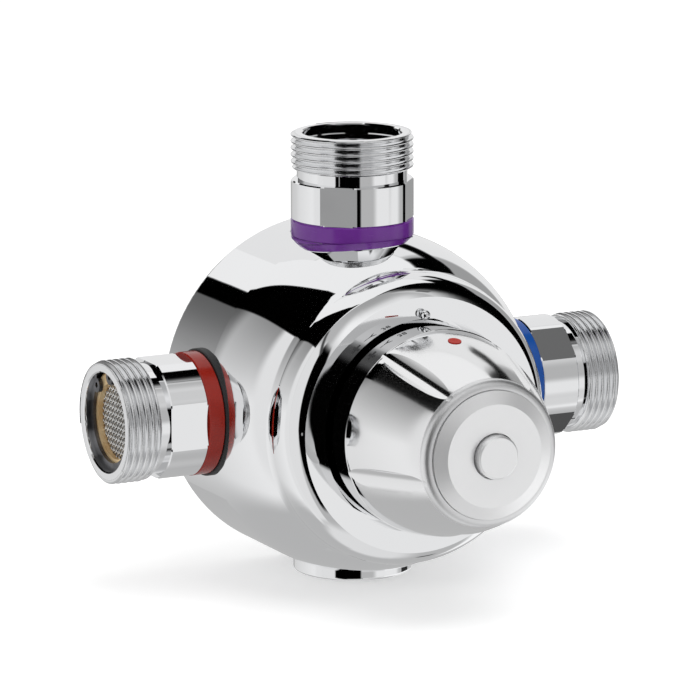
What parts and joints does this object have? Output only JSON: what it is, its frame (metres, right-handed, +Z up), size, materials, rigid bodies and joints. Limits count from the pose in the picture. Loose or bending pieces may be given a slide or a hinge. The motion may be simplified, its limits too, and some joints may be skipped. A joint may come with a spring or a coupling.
{
  "type": "three way water mixing valve with temperature control",
  "caption": "Ball-bodied water mixing valve with a fluted temperature knob, threaded hot and cold inlets with check valves and filters, and a threaded mixed outlet.",
  "frame": {"origin": "centre of the bottom plug's flat underside", "axes": "+Z up along the mixed outlet's axis, +X towards the cold inlet, -X towards the hot inlet, -Y towards the knob"},
  "size_m": [0.1866, 0.1343, 0.1523],
  "materials": {
    "body_chrome": "polished",
    "coupling_chrome": "polished",
    "knob_chrome": "polished metal plate",
    "cap_chrome": "satin metal plate",
    "red_ring": "gloss",
    "blue_ring": "gloss",
    "violet_ring": "gloss",
    "red_dot": "gloss",
    "brass": "turned",
    "stainless": "bright",
    "spring_steel": "dark",
    "seal_rubber": "satin",
    "white_plastic": "moulded",
    "black_plastic": "moulded",
    "copper": "drawn"
  },
  "bodies": {
    "valve": {"valve_body": "body_chrome", "bottom_plug": "coupling_chrome", "bottom_plug_seal": "seal_rubber", "cartridge_sleeve": "black_plastic", "sleeve_seals": "seal_rubber", "hot_seat": "stainless", "cold_seat": "stainless", "return_spring": "stainless", "bonnet": "brass", "bonnet_seal": "seal_rubber", "gland_nut": "brass", "stop_ring": "white_plastic", "index_pin": "coupling_chrome", "hot_union": "coupling_chrome", "hot_ring": "red_ring", "hot_union_seal": "seal_rubber", "cold_union": "coupling_chrome", "cold_ring": "blue_ring", "cold_union_seal": "seal_rubber", "outlet_union": "coupling_chrome", "outlet_ring": "violet_ring", "outlet_union_seal": "seal_rubber", "hot_circlip": "spring_steel", "hot_filter_ring": "brass", "hot_filter_mesh": "stainless", "hot_check_body": "white_plastic", "hot_check_seal": "seal_rubber", "hot_check_spring": "stainless", "cold_circlip": "spring_steel", "cold_filter_ring": "brass", "cold_filter_mesh": "stainless", "cold_check_body": "white_plastic", "cold_check_seal": "seal_rubber", "cold_check_spring": "stainless"},
    "knob": {"knob_shell": "knob_chrome", "knob_bush": "white_plastic", "knob_washer": "stainless", "knob_screw": "stainless", "knob_disc": "cap_chrome", "screw_cover": "cap_chrome", "pointer_dot": "red_dot", "spindle": "brass", "spindle_seals": "seal_rubber"},
    "regulator": {"adjuster": "brass", "adjuster_clip": "stainless", "relief_spring": "stainless"},
    "relief": {"relief_button": "stainless", "element_piston": "stainless"},
    "shuttle_unit": {"shuttle": "black_plastic", "shuttle_seal": "seal_rubber", "wax_element": "copper"},
    "hot_poppet": {"hot_check_poppet": "black_plastic"},
    "cold_poppet": {"cold_check_poppet": "black_plastic"}
  },
  "joints": [
    {"name": "knob_turn", "type": "hinge", "parent": "valve", "child": "knob", "pos_m": [0, 0, 0.0605], "axis": [0, -1, 0], "range_deg": [-120, 120]},
    {"name": "regulator_slide", "type": "slide", "parent": "valve", "child": "regulator", "axis": [0, 1, 0], "range_m": [-0.0015, 0.0015]},
    {"name": "relief_slide", "type": "slide", "parent": "regulator", "child": "relief", "axis": [0, -1, 0], "range_m": [0, 0.001], "stiffness_N_per_m": 8000, "springref_m": -0.003, "deforming": ["relief_spring"]},
    {"name": "element_slide", "type": "slide", "parent": "regulator", "child": "shuttle_unit", "axis": [0, 1, 0], "range_m": [-0.0006, 0.0006], "stiffness_N_per_m": 3000, "deforming": ["return_spring"]},
    {"name": "hot_check_lift", "type": "slide", "parent": "valve", "child": "hot_poppet", "axis": [1, 0, 0], "range_m": [0, 0.006], "stiffness_N_per_m": 150, "springref_m": -0.002, "deforming": ["hot_check_spring"]},
    {"name": "cold_check_lift", "type": "slide", "parent": "valve", "child": "cold_poppet", "axis": [-1, 0, 0], "range_m": [0, 0.006], "stiffness_N_per_m": 150, "springref_m": -0.002, "deforming": ["cold_check_spring"]}
  ],
  "couplings": [
    {"joint": "regulator_slide", "follows": "knob_turn", "m_per_rad": 0.000716}
  ]
}
